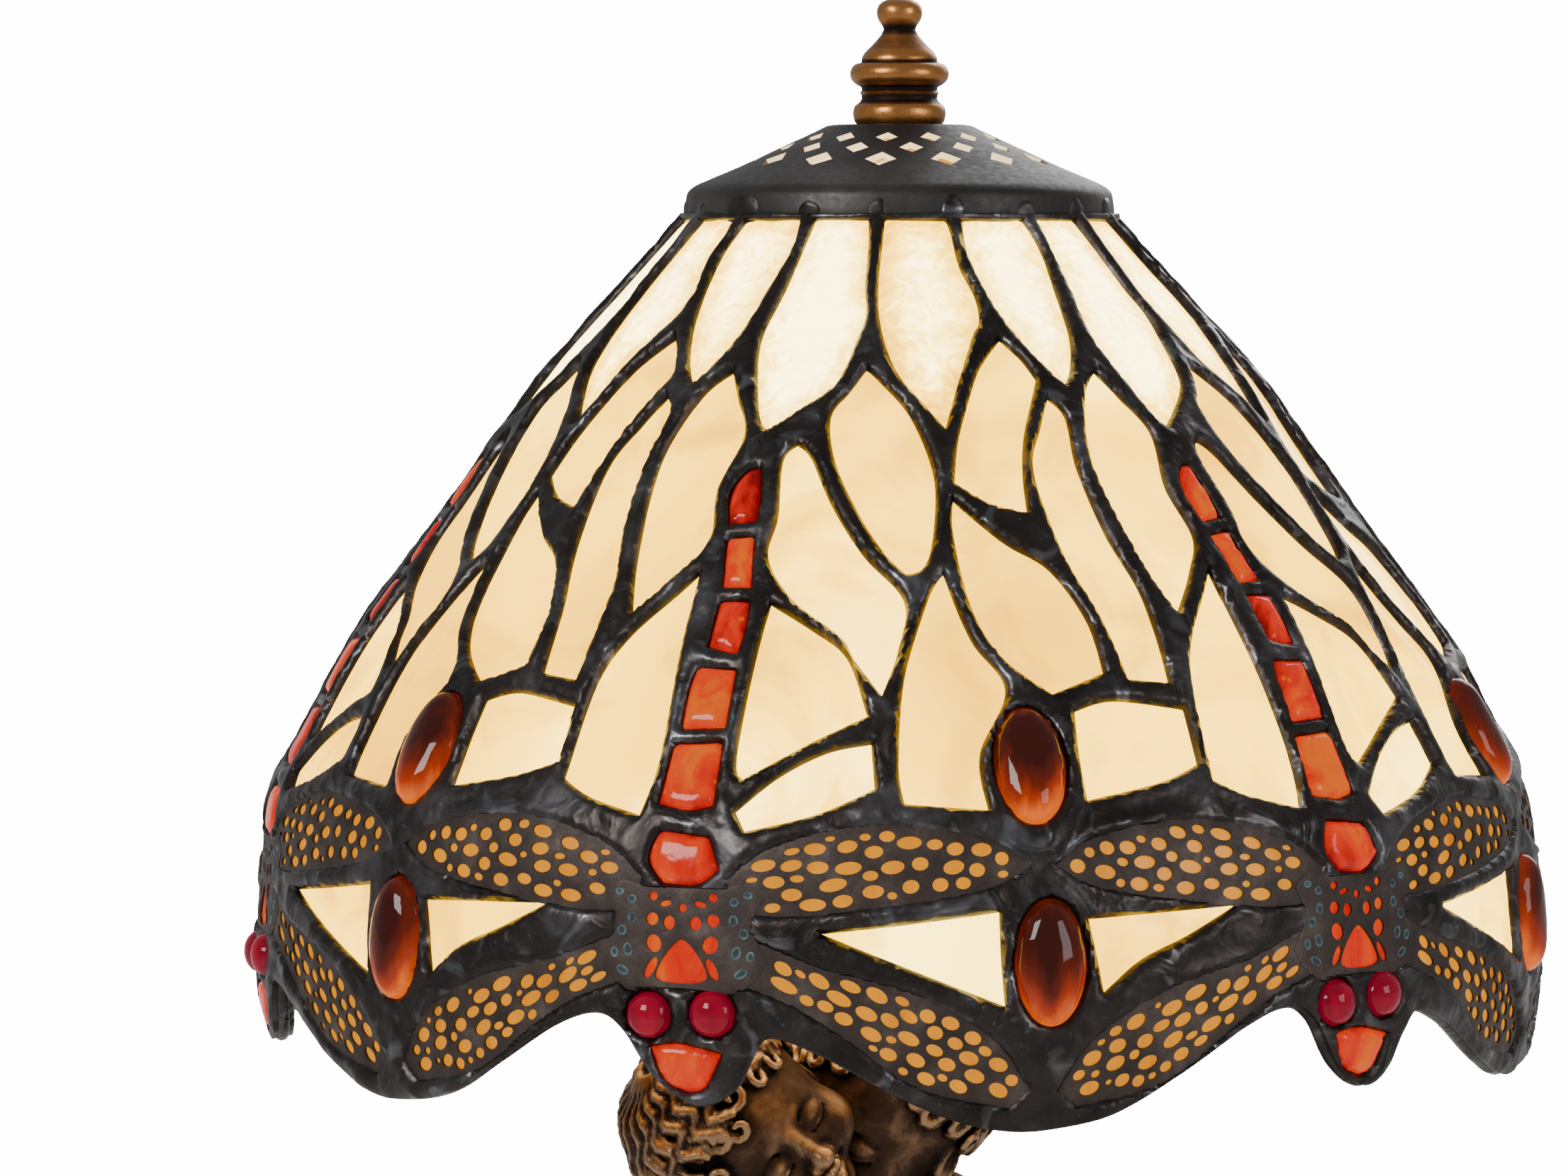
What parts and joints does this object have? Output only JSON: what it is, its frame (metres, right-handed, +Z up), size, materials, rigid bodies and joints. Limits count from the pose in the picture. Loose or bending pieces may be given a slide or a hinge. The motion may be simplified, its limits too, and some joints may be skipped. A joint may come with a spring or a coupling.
{
  "type": "table lamp",
  "caption": "Table lamp with a domed leaded glass dragonfly shade, vented cap and turned finial, on a cast base with two cherubs.",
  "frame": {"origin": "middle of the felt pad's underside, on the lamp's axis", "axes": "+Z up along the lamp's axis, -Y to the front, +X to the right seen from the front"},
  "size_m": [0.2642, 0.262, 0.4309],
  "materials": {
    "cast_bronze": "antique bronze finish, satin",
    "finial_bronze": "antique bronze finish, worn bright on the edges",
    "dark_patina": "dark patina on solder and cap, satin",
    "brass": "plain brass",
    "steel": "zinc plated",
    "cream_glass": "opalescent cream, rippled",
    "amber_glass": "amber cathedral glass under pierced metal filigree",
    "red_glass": "orange and crimson glass",
    "brown_jewel": "smooth dark brown-red cabochon",
    "bulb_glass": "frosted",
    "insulator": "matt",
    "black_plastic": "gloss",
    "felt": "felt"
  },
  "bodies": {
    "base": {"felt_pad": "felt", "plinth": "cast_bronze", "pipe_washer": "steel", "pipe_nut": "brass", "cord_bushing": "black_plastic", "rock_mound": "cast_bronze", "reeded_stem": "cast_bronze", "lamp_pipe": "steel", "cherub_left": "cast_bronze", "cherub_right": "cast_bronze", "cherub_left_wings": "cast_bronze", "cherub_right_wings": "cast_bronze", "harp_saddle": "brass", "harp": "brass", "socket_cap": "brass", "socket_shell": "brass", "socket_liner": "insulator", "socket_core": "insulator"},
    "shade": {"leading_frame": "dark_patina", "lip_wire": "dark_patina", "vented_cap": "dark_patina", "swivel_stud": "brass", "background_glass_1": "cream_glass", "wing_panel_1": "amber_glass", "dragonfly_body_1": "red_glass", "upper_oval_jewel_1": "brown_jewel", "lower_oval_jewel_1": "brown_jewel", "background_glass_2": "cream_glass", "wing_panel_2": "amber_glass", "dragonfly_body_2": "red_glass", "upper_oval_jewel_2": "brown_jewel", "lower_oval_jewel_2": "brown_jewel", "background_glass_3": "cream_glass", "wing_panel_3": "amber_glass", "dragonfly_body_3": "red_glass", "upper_oval_jewel_3": "brown_jewel", "lower_oval_jewel_3": "brown_jewel", "background_glass_4": "cream_glass", "wing_panel_4": "amber_glass", "dragonfly_body_4": "red_glass", "upper_oval_jewel_4": "brown_jewel", "lower_oval_jewel_4": "brown_jewel", "background_glass_5": "cream_glass", "wing_panel_5": "amber_glass", "dragonfly_body_5": "red_glass", "upper_oval_jewel_5": "brown_jewel", "lower_oval_jewel_5": "brown_jewel", "background_glass_6": "cream_glass", "wing_panel_6": "amber_glass", "dragonfly_body_6": "red_glass", "upper_oval_jewel_6": "brown_jewel", "lower_oval_jewel_6": "brown_jewel"},
    "washer": {"finial_washer": "brass"},
    "finial": {"finial": "finial_bronze"},
    "knob": {"switch_knob": "black_plastic"},
    "sleeve_left": {"harp_sleeve_left": "brass"},
    "sleeve_right": {"harp_sleeve_right": "brass"},
    "bulb_carrier": {"bulb_contact": "insulator"},
    "bulb": {"bulb_base": "steel", "bulb_glass": "bulb_glass"}
  },
  "joints": [
    {"name": "shade_turn", "type": "hinge", "parent": "base", "child": "shade", "pos_m": [0, 0, 0.4041], "axis": [0, 0, 1], "continuous": true},
    {"name": "finial_rise", "type": "slide", "parent": "shade", "child": "washer", "axis": [0, 0, 1], "range_m": [0, 0.0076]},
    {"name": "finial_turn", "type": "hinge", "parent": "washer", "child": "finial", "pos_m": [0, 0, 0.4067], "axis": [0, 0, 1], "range_deg": [0, 2880]},
    {"name": "knob_turn", "type": "hinge", "parent": "base", "child": "knob", "pos_m": [0, -0.022, 0.258], "axis": [0, -1, 0], "continuous": true},
    {"name": "sleeve_left_lift", "type": "slide", "parent": "base", "child": "sleeve_left", "axis": [0, 0, 1], "range_m": [0, 0.01]},
    {"name": "sleeve_right_lift", "type": "slide", "parent": "base", "child": "sleeve_right", "axis": [0, 0, 1], "range_m": [0, 0.01]},
    {"name": "bulb_rise", "type": "slide", "parent": "base", "child": "bulb_carrier", "axis": [0, 0, 1], "range_m": [0, 0.0182]},
    {"name": "bulb_turn", "type": "hinge", "parent": "bulb_carrier", "child": "bulb", "pos_m": [0, 0, 0.2683], "axis": [0, 0, 1], "range_deg": [0, 1800]}
  ],
  "couplings": [
    {"joint": "finial_rise", "follows": "finial_turn", "m_per_rad": 0.00014972},
    {"joint": "bulb_rise", "follows": "bulb_turn", "m_per_rad": 0.00057757}
  ]
}
